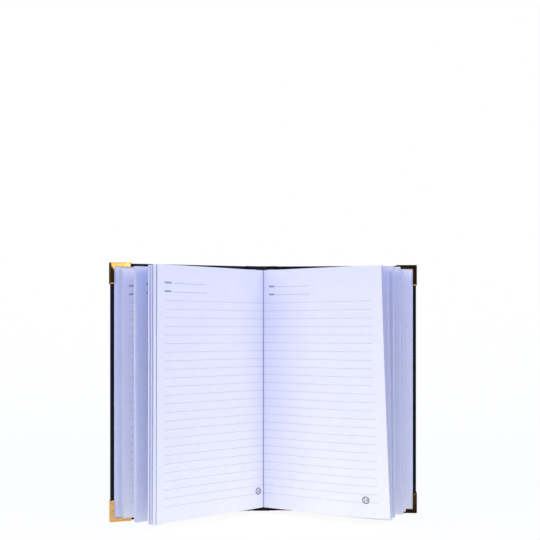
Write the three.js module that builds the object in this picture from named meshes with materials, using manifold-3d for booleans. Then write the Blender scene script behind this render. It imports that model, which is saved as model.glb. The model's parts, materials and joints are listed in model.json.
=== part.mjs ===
// A case-bound notebook that stands open on its tail edges: two leather-covered boards and a spine,
// a sewn block of ruled leaves fanned between them, and a sheet-brass corner on each cover corner.
// Millimetres, +Z up. X runs along the spine board, from the front cover's side to the back cover's.
// The leaves open towards -Y. The origin is the middle of the spine's tail edge.
import * as THREE from "three";
import { mergeVertices } from "three/addons/utils/BufferGeometryUtils.js";
import Module from "manifold-3d";

const wasm = await Module();
wasm.setup();

// Paper block
const PAGE_HEIGHT = 210;
const PAGE_WIDTH = 126; // from the sewn back to the fore-edge of the outermost leaves
const FORE_EDGE_HOLLOW = 3.5; // how far the middle leaves stop short, as in a rounded block
const BLOCK_THICKNESS = 10.6;
const LEFT_SHARE = 0.63; // share of the leaves that lies on the front cover's side
const FLYLEAF_THICKNESS = 0.4;
const LEAF_GAP = 0.12; // air between neighbouring packets of leaves when the book is shut
const LEAF_ROOT = 0.15; // from the leaves' turning line to where a packet begins
const FOLD_DEPTH = 3.5; // depth of the stitched and glued folds
const FOLD_COUNT = 9;
const FOLD_BULGE = 0.25;

// Case
const SQUARE = 4; // how far the covers stand past the leaves at head and tail
const FORE_SQUARE = 2.8; // the same at the fore-edge
const BOARD_THICKNESS = 2.2;
const LEATHER_THICKNESS = 0.5;
const PASTEDOWN_THICKNESS = 0.2;
const INFILL_CLEARANCE = 0.3;
const GLUE_GAP = 0.06; // glue line between two pieces pasted flat together
const TURN_IN_WIDTH = 15;
const PASTEDOWN_MARGIN = 3;
const COVER_CLEARANCE = 0.1; // between a shut cover and the leaves
const HINGE_INSET = 2; // from the joint's turning line in to the cover's inner face
const GROOVE_WIDTH = 7; // from the joint's turning line to the board
const JOINT_START = 0.4;
const JOINT_THICKNESS = 0.5;
const JOINT_SLOPE = 1.8;
const PIECE_GAP = 0.1; // between pieces that meet edge to edge

// Spine
const SPINE_BOARD_THICKNESS = 1.8;
const SPINE_LINER_THICKNESS = 0.35;
const SPINE_SIDE_GAP = 0.4; // from the spine leather to the joint's turning line
const MULL_THICKNESS = 0.4;
const MULL_HEAD_MARGIN = 12;
const SPINE_LAYER_GAP = 0.12;
const BAND_RADIUS = 0.8;

// Brass corners
const CORNER_LEG = 18;
const CORNER_SHEET = 0.6;
const CORNER_CLEARANCE = 0.1;
const FLANGE_WIDTH = 3; // width of the inner flange at its mitre
const FLANGE_TIP = 2.8; // and at the end of each leg

// Opening angles at rest, in degrees from the plane of the spine board; shut is 90
const FRONT_COVER_ANGLE = 22.4;
const BACK_COVER_ANGLE = 3.9;
const LEFT_ANGLES = [22.6, 23.9, 34.2, 40.2, 42.3, 44.3]; // from the flyleaf in to the open page
const RIGHT_ANGLES = [8, 14.6, 18.3, 25.5, 31, 34];

// Derived places
const COVER_HEIGHT = PAGE_HEIGHT + 2 * SQUARE;
const HALF_BLOCK = BLOCK_THICKNESS / 2;
const HINGE_X = HALF_BLOCK + COVER_CLEARANCE + HINGE_INSET;
const LINER_BACK = 0;
const LINER_FRONT = LINER_BACK - SPINE_LINER_THICKNESS;
const MULL_BACK = LINER_FRONT - SPINE_LAYER_GAP;
const MULL_FRONT = MULL_BACK - MULL_THICKNESS;
const BLOCK_BACK = MULL_FRONT - SPINE_LAYER_GAP; // where the leaves' own width starts
const LEAF_PIVOT_Y = BLOCK_BACK - FOLD_DEPTH - PIECE_GAP;
const COVER_REACH = PAGE_WIDTH + FORE_SQUARE - BLOCK_BACK;

// Levels through a cover, from its inner face outwards, as local Y
const PASTEDOWN_IN = -HINGE_INSET;
const TURN_IN_IN = PASTEDOWN_IN + PASTEDOWN_THICKNESS + GLUE_GAP;
const BOARD_IN = TURN_IN_IN + LEATHER_THICKNESS + GLUE_GAP;
const BOARD_OUT = BOARD_IN + BOARD_THICKNESS;
const LEATHER_OUT = BOARD_OUT + GLUE_GAP + LEATHER_THICKNESS;
const WRAP = LEATHER_THICKNESS + GLUE_GAP; // leather and glue beyond a board's edge

const BLACK_LEATHER = { color: "#191b28", roughness: 0.55, metalness: 0 };
const GREY_BOARD = { color: "#9a958b", roughness: 0.9, metalness: 0 };
const WHITE_PAPER = { color: "#e4e7fb", roughness: 0.9, metalness: 0 };
const ENDPAPER = { color: "#dfe2f6", roughness: 0.9, metalness: 0 };
const CARD = { color: "#c9c3b4", roughness: 0.9, metalness: 0 };
const GAUZE = { color: "#d8d2c2", roughness: 1, metalness: 0 };
const BLACK_CLOTH = { color: "#20212c", roughness: 0.8, metalness: 0 };
const BRASS = { color: "#d4aa70", roughness: 0.3, metalness: 1 };

// A box between two opposite corners.
function box(x0, x1, y0, y1, z0, z1) {
  const geometry = new THREE.BoxGeometry(Math.abs(x1 - x0), y1 - y0, z1 - z0);
  return geometry.translate((x0 + x1) / 2, (y0 + y1) / 2, (z0 + z1) / 2);
}

// An outline of [x, y] points, raised from z0 to z1.
function column(points, z0, z1) {
  const shape = new THREE.Shape(points.map(([x, y]) => new THREE.Vector2(x, y)));
  const depth = z1 - z0;
  return new THREE.ExtrudeGeometry(shape, { depth, bevelEnabled: false }).translate(0, 0, z0);
}

// An outline of [x, z] points, stretched from y0 to y1.
function plate(points, y0, y1) {
  return column(points, -y1, -y0).rotateX(Math.PI / 2);
}

// A closed geometry as a solid that can be cut and joined.
function solid(geometry) {
  const bare = geometry.clone();
  bare.deleteAttribute("normal");
  bare.deleteAttribute("uv");
  const merged = mergeVertices(bare, 1e-4);
  const index = new Uint32Array(merged.index.array);
  const vertProperties = merged.attributes.position.array;
  return new wasm.Manifold(new wasm.Mesh({ numProp: 3, vertProperties, triVerts: index }));
}

// A solid back as a geometry.
function geometryOf(made) {
  const mesh = made.getMesh();
  const geometry = new THREE.BufferGeometry();
  geometry.setAttribute("position", new THREE.BufferAttribute(mesh.vertProperties, 3));
  geometry.setIndex(new THREE.BufferAttribute(mesh.triVerts, 1));
  geometry.computeVertexNormals();
  return geometry;
}

function cut(whole, ...tools) {
  return geometryOf(tools.reduce((left, tool) => left.subtract(solid(tool)), solid(whole)));
}

const notebook = new THREE.Group();

function addPiece(parent, name, geometry, look) {
  const mesh = new THREE.Mesh(geometry, new THREE.MeshStandardMaterial(look));
  mesh.name = name;
  parent.add(mesh);
}

// The spine: a leather-wrapped board with a paper lining, and behind the leaves the gauze,
// the stitched folds and a cloth band at each end of them.
function addSpine() {
  const halfLeather = HINGE_X - SPINE_SIDE_GAP;
  const halfBoard = halfLeather - WRAP;
  const boardBack = LINER_BACK + SPINE_LAYER_GAP + SPINE_BOARD_THICKNESS;
  const boardFront = LINER_BACK + SPINE_LAYER_GAP;
  const leatherBack = boardBack + WRAP;
  const boardHead = COVER_HEIGHT - WRAP;

  addPiece(notebook, "spine_board",
    box(-halfBoard, halfBoard, boardFront, boardBack, WRAP, boardHead), GREY_BOARD);

  const boardRoom = box(-halfBoard - GLUE_GAP, halfBoard + GLUE_GAP, boardFront - GLUE_GAP,
    boardBack + GLUE_GAP, LEATHER_THICKNESS, COVER_HEIGHT - LEATHER_THICKNESS);
  const liningRoom = box(-halfBoard - GLUE_GAP, halfBoard + GLUE_GAP, LINER_FRONT - 1,
    boardFront, TURN_IN_WIDTH, COVER_HEIGHT - TURN_IN_WIDTH);
  const wrap = box(-halfLeather, halfLeather, LINER_FRONT, leatherBack, 0, COVER_HEIGHT);
  addPiece(notebook, "spine_leather", cut(wrap, boardRoom, liningRoom), BLACK_LEATHER);

  addPiece(notebook, "spine_liner",
    box(-halfBoard, halfBoard, LINER_FRONT, LINER_BACK, TURN_IN_WIDTH + INFILL_CLEARANCE,
      COVER_HEIGHT - TURN_IN_WIDTH - INFILL_CLEARANCE), CARD);

  const mullTail = SQUARE + MULL_HEAD_MARGIN;
  addPiece(notebook, "spine_mull",
    box(-HALF_BLOCK, HALF_BLOCK, MULL_FRONT, MULL_BACK, mullTail, COVER_HEIGHT - mullTail), GAUZE);

  addPiece(notebook, "sewn_folds",
    column(foldOutline(), SQUARE, SQUARE + PAGE_HEIGHT), WHITE_PAPER);

  const bandBack = BLOCK_BACK - FOLD_BULGE;
  const pageHead = SQUARE + PAGE_HEIGHT;
  addPiece(notebook, "head_band", bandRoll(bandBack, pageHead + PIECE_GAP, 1), BLACK_CLOTH);
  addPiece(notebook, "tail_band", bandRoll(bandBack, SQUARE - PIECE_GAP, -1), BLACK_CLOTH);
}

// Seen from above: a flat front where the leaves begin, and a back with one round for each fold.
function foldOutline() {
  const front = BLOCK_BACK - FOLD_DEPTH;
  const pitch = (BLOCK_THICKNESS - 2 * PIECE_GAP) / FOLD_COUNT;
  const left = -HALF_BLOCK + PIECE_GAP;
  const stepsPerFold = 6;
  const points = [[left, front], [-left, front]];
  for (let step = FOLD_COUNT * stepsPerFold; step >= 0; step--) {
    const along = step / stepsPerFold;
    const round = Math.abs(Math.sin(along * Math.PI));
    points.push([left + along * pitch, BLOCK_BACK - FOLD_BULGE * (1 - round)]);
  }
  return points;
}

// A roll along X with a flat side against the leaves' head (up = 1) or tail (up = -1).
function bandRoll(back, seat, up) {
  const steps = 10;
  const profile = [];
  for (let i = 0; i <= steps; i++) {
    const turn = (Math.PI * i) / steps;
    profile.push([Math.cos(turn) * BAND_RADIUS, Math.sin(turn) * BAND_RADIUS * 2 * up]);
  }
  const half = HALF_BLOCK - PIECE_GAP;
  const roll = column(profile, -half, half); // profile in X-Y, length along Z
  roll.rotateY(Math.PI / 2); // length along X, profile in Z-Y
  roll.rotateX(Math.PI / 2); // profile's height along Z, its width along Y
  return roll.translate(0, back - BAND_RADIUS, seat);
}

// A group that turns on a vertical line, with local X out along the leaf or cover
// (towards -X for side = -1) and local -Y on the reader's side of it.
function turningGroup(side, pivotX, pivotY, angle) {
  const group = new THREE.Group();
  group.position.set(side * pivotX, pivotY, 0);
  group.rotation.z = -side * THREE.MathUtils.degToRad(angle);
  notebook.add(group);
  return group;
}

function addCover(prefix, side, angle) {
  const cover = turningGroup(side, HINGE_X, 0, angle);
  const at = (reach) => side * reach;
  const boardEnd = COVER_REACH - WRAP;
  const boardHead = COVER_HEIGHT - WRAP;

  addPiece(cover, prefix + "_board",
    box(at(GROOVE_WIDTH), at(boardEnd), BOARD_IN, BOARD_OUT, WRAP, boardHead), GREY_BOARD);

  // One skin: the outer face, the three wrapped edges and the turned-in margin inside.
  const wrap = box(at(GROOVE_WIDTH), at(COVER_REACH), TURN_IN_IN, LEATHER_OUT, 0, COVER_HEIGHT);
  const boardRoom = box(at(GROOVE_WIDTH - 1), at(boardEnd + GLUE_GAP), BOARD_IN - GLUE_GAP,
    BOARD_OUT + GLUE_GAP, LEATHER_THICKNESS, COVER_HEIGHT - LEATHER_THICKNESS);
  const windowEnd = COVER_REACH - TURN_IN_WIDTH;
  const window = box(at(GROOVE_WIDTH - 1), at(windowEnd), TURN_IN_IN - 1, BOARD_IN,
    TURN_IN_WIDTH, COVER_HEIGHT - TURN_IN_WIDTH);
  addPiece(cover, prefix + "_leather", cut(wrap, boardRoom, window), BLACK_LEATHER);

  // The joint: leather that lies in the groove and climbs to the outer face.
  const half = JOINT_THICKNESS / 2;
  const end = GROOVE_WIDTH - PIECE_GAP;
  const outerIn = LEATHER_OUT - LEATHER_THICKNESS;
  const climb = end - JOINT_SLOPE;
  const jointOutline = [
    [JOINT_START, -half], [climb, -half], [end, outerIn], [end, LEATHER_OUT],
    [end - JOINT_THICKNESS, LEATHER_OUT], [climb - half, half], [JOINT_START, half],
  ].map(([reach, y]) => [at(reach), y]);
  addPiece(cover, prefix + "_joint_leather", column(jointOutline, 0, COVER_HEIGHT), BLACK_LEATHER);

  addPiece(cover, prefix + "_infill",
    box(at(GROOVE_WIDTH), at(windowEnd - INFILL_CLEARANCE), TURN_IN_IN, BOARD_IN - GLUE_GAP,
      TURN_IN_WIDTH + INFILL_CLEARANCE, COVER_HEIGHT - TURN_IN_WIDTH - INFILL_CLEARANCE), CARD);

  addPiece(cover, prefix + "_pastedown",
    box(at(GROOVE_WIDTH), at(COVER_REACH - PASTEDOWN_MARGIN), PASTEDOWN_IN,
      PASTEDOWN_IN + PASTEDOWN_THICKNESS, PASTEDOWN_MARGIN, COVER_HEIGHT - PASTEDOWN_MARGIN),
    ENDPAPER);

  addPiece(cover, prefix + "_tail_corner", cornerSheet(side, 0, 1), BRASS);
  addPiece(cover, prefix + "_head_corner", cornerSheet(side, COVER_HEIGHT, -1), BRASS);
}

// A brass corner: a triangle outside, a wall round the two edges and a narrow mitred flange inside.
// It is drawn from the cover's corner at height "edge", with "up" pointing along the cover.
function cornerSheet(side, edge, up) {
  const shell = CORNER_CLEARANCE + CORNER_SHEET;
  // distances in from the cover's fore-edge and from its head or tail edge
  const point = (fromFore, fromEdge) => [side * (COVER_REACH - fromFore), edge + up * fromEdge];
  const square = (low, high) => [
    point(low, low), point(high, low), point(high, high), point(low, high),
  ];
  const inside = TURN_IN_IN - GLUE_GAP - PASTEDOWN_THICKNESS;
  const body = plate(square(-shell, CORNER_LEG), inside - shell, LEATHER_OUT + shell);
  const coverRoom = plate(square(-CORNER_CLEARANCE, CORNER_LEG + 1), inside - CORNER_CLEARANCE,
    LEATHER_OUT + CORNER_CLEARANCE);
  const pastLeg = plate([
    point(CORNER_LEG, -shell), point(CORNER_LEG + 1, -shell), point(CORNER_LEG + 1, CORNER_LEG + 1),
    point(-shell - 1, CORNER_LEG + 1), point(-shell - 1, CORNER_LEG), point(-shell, CORNER_LEG),
  ], inside - shell - 1, LEATHER_OUT + shell + 1);
  const insideFlange = plate([
    point(FLANGE_WIDTH, FLANGE_WIDTH), point(FLANGE_TIP, CORNER_LEG + 1),
    point(CORNER_LEG + 1, CORNER_LEG + 1), point(CORNER_LEG + 1, FLANGE_TIP),
  ], inside - shell - 1, inside);
  return cut(body, coverRoom, pastLeg, insideFlange);
}

// The packets of leaves on one side, from the flyleaf next to the cover in to the open page.
function addLeaves(prefix, side, share, angles, openName) {
  const stack = BLOCK_THICKNESS * share;
  const sections = angles.length - 1;
  const air = LEAF_GAP * (angles.length + 0.5); // the last half gap lies at the opening itself
  const thickness = (stack - FLYLEAF_THICKNESS - air) / sections;
  let offset = LEAF_GAP;
  angles.forEach((angle, i) => {
    const deep = i === 0 ? FLYLEAF_THICKNESS : thickness;
    const middle = 1 - (offset + deep / 2) / HALF_BLOCK; // 1 at the cover, 0 in mid block
    const hollow = FORE_EDGE_HOLLOW * Math.max(0, 1 - middle * middle);
    const reach = PAGE_WIDTH - FOLD_DEPTH - PIECE_GAP - hollow;
    const leaf = turningGroup(side, HALF_BLOCK, LEAF_PIVOT_Y, angle);
    const geometry = box(side * LEAF_ROOT, side * reach, -offset - deep, -offset,
      SQUARE, SQUARE + PAGE_HEIGHT);
    const name = i === 0 ? "flyleaf" : "section_" + i;
    const paper = i === 0 ? ENDPAPER : WHITE_PAPER;
    addPiece(leaf, i === sections ? openName : prefix + "_" + name, geometry, paper);
    offset += deep + LEAF_GAP;
  });
}

addSpine();
addCover("front", -1, FRONT_COVER_ANGLE);
addCover("back", 1, BACK_COVER_ANGLE);
addLeaves("front", -1, LEFT_SHARE, LEFT_ANGLES, "left_open_section");
addLeaves("back", 1, 1 - LEFT_SHARE, RIGHT_ANGLES, "right_open_section");

export default notebook;
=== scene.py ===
import json
import math

import bmesh
import bpy
import numpy as np
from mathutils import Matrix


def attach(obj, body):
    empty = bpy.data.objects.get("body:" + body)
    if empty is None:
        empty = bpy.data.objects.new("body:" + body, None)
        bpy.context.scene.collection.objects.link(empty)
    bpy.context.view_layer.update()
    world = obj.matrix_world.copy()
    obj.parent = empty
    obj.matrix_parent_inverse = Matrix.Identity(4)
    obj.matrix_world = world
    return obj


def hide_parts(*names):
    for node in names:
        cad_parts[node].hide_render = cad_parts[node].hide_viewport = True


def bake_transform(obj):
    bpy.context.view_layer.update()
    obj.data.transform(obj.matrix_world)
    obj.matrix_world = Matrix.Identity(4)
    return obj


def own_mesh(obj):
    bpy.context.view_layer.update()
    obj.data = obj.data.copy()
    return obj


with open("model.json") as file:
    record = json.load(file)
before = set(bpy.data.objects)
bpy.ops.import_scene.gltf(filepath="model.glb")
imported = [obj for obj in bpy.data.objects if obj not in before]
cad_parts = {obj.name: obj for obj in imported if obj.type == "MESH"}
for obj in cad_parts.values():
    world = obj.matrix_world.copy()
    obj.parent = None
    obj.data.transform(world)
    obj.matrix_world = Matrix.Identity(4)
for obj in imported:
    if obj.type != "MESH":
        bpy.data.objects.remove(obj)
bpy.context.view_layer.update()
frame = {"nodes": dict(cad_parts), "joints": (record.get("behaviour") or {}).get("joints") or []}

# Room. The notebook stands on white paper that runs up behind it without an edge, in a cool room
# with a warm soft box on each side and a panel in the floor. Black cards stand where the metal
# mirrors them, and the camera stands level in front of the fold.
CAMERA_PLACE = (0.0076, -0.8944, 0.1674)
CAMERA_LENS = 66.67
CAMERA_SHIFT = 0.0981
FLOOR_HALF_WIDTH = 1600.0
FLOOR_FRONT = -2000.0
FLOOR_BEND = 550.0
FLOOR_RADIUS = 350.0
FLOOR_HEIGHT = 1900.0
FLOOR_LEVEL = -0.72
FLOOR_FIBRE = 10 / 9
ROOM_STRENGTH = 0.95
ROOM_COLOUR = "#abc4ff"
LEFT_POWER = 13.9
RIGHT_POWER = 12.6
SOFTBOX_COLOUR = "#ffe998"
SOFTBOX_SIZE = (1.0, 0.9)
SOFTBOX_SIDE = 1.25
SOFTBOX_FRONT = 1.05
SOFTBOX_HEIGHT = 0.5
SOFTBOX_AIM = 0.11
PANEL_POWER = 0.364
PANEL_COLOUR = "#fffdb8"
PANEL_SIZE = (0.7, 0.32)
PANEL_PLACE = (0.0, -0.16, -0.0003)
CARD_CLOUD = 250 / 3
CARDS = {
    "black_card_behind_camera": [
        [-800, -1250, -2], [600, -1250, -2], [600, -1250, 900], [-800, -1250, 900],
    ],
    "black_card_on_floor": [
        [112, -260, -0.7], [290, -260, -0.7], [290, 200, -0.7], [112, -13.5, -0.7],
    ],
    "black_card_at_right": [
        [300, -450, -0.5], [300, 350, -0.5], [300, 350, 330], [300, -450, 330],
    ],
    "black_card_at_left": [
        [-290, -360, 100], [-290, 350, 100], [-290, 350, 330], [-290, -360, 330],
    ],
    "black_card_overhead": [
        [90, -450, 320], [300, -450, 320], [300, 350, 320], [90, 350, 320],
    ],
}


def linear(hex_colour):
    """A written sRGB colour as linear numbers: c/12.92 to 0.04045, above it ((c+0.055)/1.055)^2.4."""
    parts = [int(hex_colour[i : i + 2], 16) / 255 for i in (1, 3, 5)]
    return tuple(c / 12.92 if c <= 0.04045 else ((c + 0.055) / 1.055) ** 2.4 for c in parts) + (1.0,)


def wire(tree, node, settings=None, links=None):
    """Sets a node's attributes, or its sockets by name or number, or a ramp's stops as pairs of
    place and colour, and links its sockets to the sources given."""
    for key, value in (settings or {}).items():
        if key == "stops":
            for stop, (place, colour) in zip(node.color_ramp.elements, value):
                stop.position = place
                stop.color = linear(colour)
        elif isinstance(key, int) or key in node.inputs:
            node.inputs[key].default_value = value
        else:
            setattr(node, key, value)
    for key, source in (links or {}).items():
        tree.links.new(source, node.inputs[key])


def add_node(tree, kind, settings=None, links=None, out=None):
    """Adds one node with its settings and links, and gives it or the output that is asked for."""
    node = tree.nodes.new("ShaderNode" + kind)
    wire(tree, node, settings, links)
    return node if out is None else node.outputs[out]


def new_material(name):
    """A node material: itself, its tree, its Principled shader and the place on the object."""
    material = bpy.data.materials.new(name)
    material.use_nodes = True
    tree = material.node_tree
    return material, tree, tree.nodes["Principled BSDF"], add_node(tree, "TexCoord", out="Object")


def put_mesh(name, points, faces, materials, uv=None, smooth=True):
    """Puts points in mm and faces into a mesh object at the origin; uv is one pair for each point."""
    mesh = bpy.data.meshes.new(name)
    points = np.asarray(points, float).reshape(-1, 3)
    mesh.from_pydata((points / 1000).tolist(), [], np.asarray(faces, int).tolist())
    if uv is not None:
        layer = mesh.uv_layers.new(name="page")
        corners = np.zeros(len(mesh.loops), int)
        mesh.loops.foreach_get("vertex_index", corners)
        layer.data.foreach_set("uv", np.asarray(uv, np.float32).reshape(-1, 2)[corners].ravel())
    for material in materials:
        mesh.materials.append(material)
    mesh.polygons.foreach_set("use_smooth", np.full(len(mesh.polygons), smooth))
    mesh.update()
    obj = bpy.data.objects.new(name, mesh)
    bpy.context.scene.collection.objects.link(obj)
    return obj


def grid_faces(rows, columns, flip=False):
    """The four-sided faces of a grid of points, rows by columns, turned over when flip is set."""
    index = np.arange(rows * columns).reshape(rows, columns)
    a, b, c, d = index[:-1, :-1], index[1:, :-1], index[1:, 1:], index[:-1, 1:]
    return np.stack([a, d, c, b] if flip else [a, b, c, d], -1).reshape(-1, 4)


def straight_rays(tree):
    """1 for what is seen straight, in a mirror or through glass, 0 for light that is thrown on."""
    path = add_node(tree, "LightPath")
    kinds = [path.outputs[kind] for kind in ("Is Camera Ray", "Is Glossy Ray", "Is Transmission Ray")]
    mirrored = add_node(tree, "Math", {"operation": "MAXIMUM"}, {0: kinds[0], 1: kinds[1]}, 0)
    return add_node(tree, "Math", {"operation": "MAXIMUM"}, {0: mirrored, 1: kinds[2]}, 0)


def make_floor_paper():
    """Matte white background paper: its colour is white, and its fibres hardly show. What it
    throws back as light on the notebook is greyer than what is seen of it."""
    material, tree, shader, place = new_material("white_background_paper")
    fibre = add_node(
        tree, "TexNoise", {"Scale": 1000 / FLOOR_FIBRE, "Detail": 3.0}, {"Vector": place}, "Fac"
    )
    tint = add_node(tree, "ValToRGB", {"stops": ((0, "#fbfbfb"), (1, "#ffffff"))}, {"Fac": fibre}, 0)
    seen = straight_rays(tree)
    thrown = add_node(tree, "Mix", {"data_type": "RGBA", 6: linear("#dcdce4")}, {0: seen, 7: tint}, 2)
    wire(tree, shader, {"Roughness": 0.9, "Specular IOR Level": 0.2}, {"Base Color": thrown})
    part = add_node(tree, "Math", {"operation": "MULTIPLY", 1: 0.9}, {0: seen}, 0)
    white = add_node(tree, "Emission", {"Color": (1, 1, 1, 1), "Strength": 1.02}, out=0)
    mix = add_node(tree, "MixShader", links={0: part, 1: shader.outputs[0], 2: white}, out=0)
    wire(tree, tree.nodes["Material Output"], links={"Surface": mix})
    return material


def floor_sheet():
    """The roll's outline (y, z): flat floor, quarter round of FLOOR_RADIUS, wall; carried along x."""
    turn = np.linspace(0, math.pi / 2, 17)
    back = FLOOR_BEND + FLOOR_RADIUS
    y = np.concatenate([[FLOOR_FRONT], FLOOR_BEND + FLOOR_RADIUS * np.sin(turn), [back]])
    z = np.concatenate([[0], FLOOR_RADIUS * (1 - np.cos(turn)), [FLOOR_HEIGHT]]) + FLOOR_LEVEL
    x = np.linspace(-FLOOR_HALF_WIDTH, FLOOR_HALF_WIDTH, 3)
    return np.stack(np.broadcast_arrays(x[:, None], y[None, :], z[None, :]), -1)


floor_grid = floor_sheet()
floor = put_mesh("background_paper", floor_grid, grid_faces(*floor_grid.shape[:2]), [make_floor_paper()])

world = bpy.data.worlds.new("white_room")
bpy.context.scene.world = world
world.use_nodes = True
room = world.node_tree
room_seen = straight_rays(room)
room_strength = add_node(room, "Mix", {"data_type": "FLOAT", 2: ROOM_STRENGTH, 3: 1.0}, {0: room_seen}, 0)
room_colour = add_node(
    room, "Mix", {"data_type": "RGBA", 6: linear(ROOM_COLOUR), 7: (1, 1, 1, 1)}, {0: room_seen}, 2
)
wire(room, room.nodes["Background"], links={"Color": room_colour, "Strength": room_strength})


def area_light(name, size, power, colour, place, turn):
    """A rectangular lamp of that width and height in metres, at its place and turned by the angles."""
    lamp = bpy.data.lights.new(name, "AREA")
    lamp.shape = "RECTANGLE"
    lamp.size, lamp.size_y = size
    lamp.energy = power
    lamp.color = linear(colour)[:3]
    obj = bpy.data.objects.new(name, lamp)
    bpy.context.scene.collection.objects.link(obj)
    obj.location = place
    obj.rotation_euler = turn
    return obj


def hide_from(obj, *rays):
    """Keeps an object out of sight of those kinds of rays."""
    for ray in rays:
        setattr(obj, "visible_" + ray, False)


softbox_fall = math.atan2(SOFTBOX_HEIGHT - SOFTBOX_AIM, math.hypot(SOFTBOX_SIDE, SOFTBOX_FRONT))
softbox_turn = math.atan2(SOFTBOX_SIDE, SOFTBOX_FRONT)
for word, way, power in (("left", -1, LEFT_POWER), ("right", 1, RIGHT_POWER)):
    area_light(
        word + "_softbox", SOFTBOX_SIZE, power, SOFTBOX_COLOUR,
        (way * SOFTBOX_SIDE, -SOFTBOX_FRONT, SOFTBOX_HEIGHT),
        (math.pi / 2 - softbox_fall, 0, way * softbox_turn),
    )
panel = area_light("floor_panel", PANEL_SIZE, PANEL_POWER, PANEL_COLOUR, PANEL_PLACE, (math.pi, 0, 0))
hide_from(panel, "camera", "glossy", "transmission")


def make_card():
    """Matte black card: near black, a little cloudy where it has been handled."""
    material, tree, shader, place = new_material("black_card")
    cloud = add_node(tree, "TexNoise", {"Scale": 1000 / CARD_CLOUD, "Detail": 3.0}, {"Vector": place}, "Fac")
    tint = add_node(tree, "ValToRGB", {"stops": ((0, "#0c0d12"), (1, "#16171e"))}, {"Fac": cloud}, 0)
    wire(tree, shader, {"Roughness": 0.95}, {"Base Color": tint})
    return material


card_paint = make_card()
for name, corners in CARDS.items():
    card = put_mesh(name, corners, [[0, 1, 2, 3]], [card_paint], smooth=False)
    hide_from(card, "camera", "diffuse", "transmission", "shadow")

camera_data = bpy.data.cameras.new("camera")
camera_data.lens = CAMERA_LENS
camera_data.sensor_width = 36.0
camera_data.shift_y = CAMERA_SHIFT
camera_data.clip_start = 0.01
camera_data.clip_end = 20.0
camera = bpy.data.objects.new("camera", camera_data)
bpy.context.scene.collection.objects.link(camera)
camera.location = CAMERA_PLACE
camera.rotation_euler = (math.pi / 2, 0, 0)
bpy.context.scene.camera = camera
bpy.context.scene.view_settings.view_transform = "Standard"

# Covers' skin. Each cover is one sheet of black leathercloth, 0.5 mm thick, glued over a board
# and turned in 15 mm along the head, the tail and the fore-edge, with mitred corners. The grain
# is embossed: small pebbles with fine creases, satin, a little greyer in patches.
COVER_HEIGHT = 218.0
COVER_MIDDLE = COVER_HEIGHT / 2
COVER_REACH = 129.79
COVER_START = 7.0
COVER_PIVOT = (7.4, 0.0)
SKIN_OUT = 1.33
SKIN_IN = -1.46
SKIN_THICKNESS = 0.5
SKIN_TURN_IN = 15.0
SKIN_EDGE_ROUND = 1.0
PEBBLE = 0.9
CREASE = 3.5
GRAIN_DRIFT = 0.6
GRAIN_DRIFT_EVERY = 6.0


def joint_angle(joint):
    """How far a leaf or a cover stands forward of flat, in degrees: minus the joint's low limit."""
    return -next(j for j in frame["joints"] if j["name"] == joint)["range_deg"][0]


def in_frame(side, angle, pivot, along, towards, z):
    """A point at a distance along the leaf and one towards the reader, from a pivot: the leaf runs
    in direction (side cos, -sin) and its reader's side faces (-side sin, -cos)."""
    c, s = math.cos(math.radians(angle)), math.sin(math.radians(angle))
    x = side * pivot[0] + side * (c * along - s * towards)
    y = pivot[1] - s * along - c * towards
    return np.stack(np.broadcast_arrays(x, y, z), -1)


def make_leathercloth():
    """PVC-faced cloth, embossed: near black with a cool cast, satin, pebbled, paler on worn relief.
    The pebbles' places wander by GRAIN_DRIFT, so that they form no rows."""
    material, tree, shader, place = new_material("black_leathercloth")
    bend = add_node(
        tree, "TexNoise", {"Scale": 1000 / GRAIN_DRIFT_EVERY, "Detail": 2.0}, {"Vector": place}, "Color"
    )
    drift = add_node(tree, "VectorMath", {"operation": "SCALE", "Scale": GRAIN_DRIFT / 1000}, {0: bend}, 0)
    moved = add_node(tree, "VectorMath", {"operation": "ADD"}, {0: place, 1: drift}, 0)
    pebble = add_node(
        tree, "TexVoronoi", {"Scale": 1000 / PEBBLE, "feature": "SMOOTH_F1", "Smoothness": 0.4},
        {"Vector": moved}, "Distance",
    )
    crease = add_node(tree, "TexNoise", {"Scale": 1000 / CREASE, "Detail": 6.0}, {"Vector": moved}, "Fac")
    relief = add_node(tree, "Math", {"operation": "MULTIPLY_ADD", 1: 0.5}, {0: crease, 2: pebble}, 0)
    shade = add_node(tree, "ValToRGB", {"stops": ((0.3, "#0f1019"), (0.75, "#1b1d29"))}, {"Fac": crease}, 0)
    gloss = add_node(
        tree, "MapRange", {"From Min": 0.3, "From Max": 0.7, "To Min": 0.42, "To Max": 0.56},
        {"Value": crease}, 0,
    )
    bump = add_node(
        tree, "Bump", {"Strength": 0.45, "Distance": 0.00012, "invert": True}, {"Height": relief}, "Normal"
    )
    wire(
        tree, shader, {"Specular IOR Level": 0.12, "Specular Tint": linear("#c4ccff")},
        {"Base Color": shade, "Roughness": gloss, "Normal": bump},
    )
    return material


leathercloth = make_leathercloth()


def skin_profile():
    """Inset from the cover's outline and level: a flat outer face, two quarter rounds over the
    board's edge, and the turned-in margin, as two arrays."""
    over = np.linspace(0, math.pi / 2, 7)
    edge = SKIN_THICKNESS / 2
    rho = SKIN_EDGE_ROUND
    inset = np.concatenate([
        [COVER_MIDDLE, 60, 20, 5],
        edge + rho * (1 - np.sin(over)),
        edge + rho * (1 - np.cos(over)),
        [5, 10, SKIN_TURN_IN],
    ])
    level = np.concatenate([
        [SKIN_OUT] * 4,
        SKIN_OUT - rho * (1 - np.cos(over)),
        SKIN_IN + rho * (1 - np.sin(over)),
        [SKIN_IN] * 3,
    ])
    return inset, level


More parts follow.
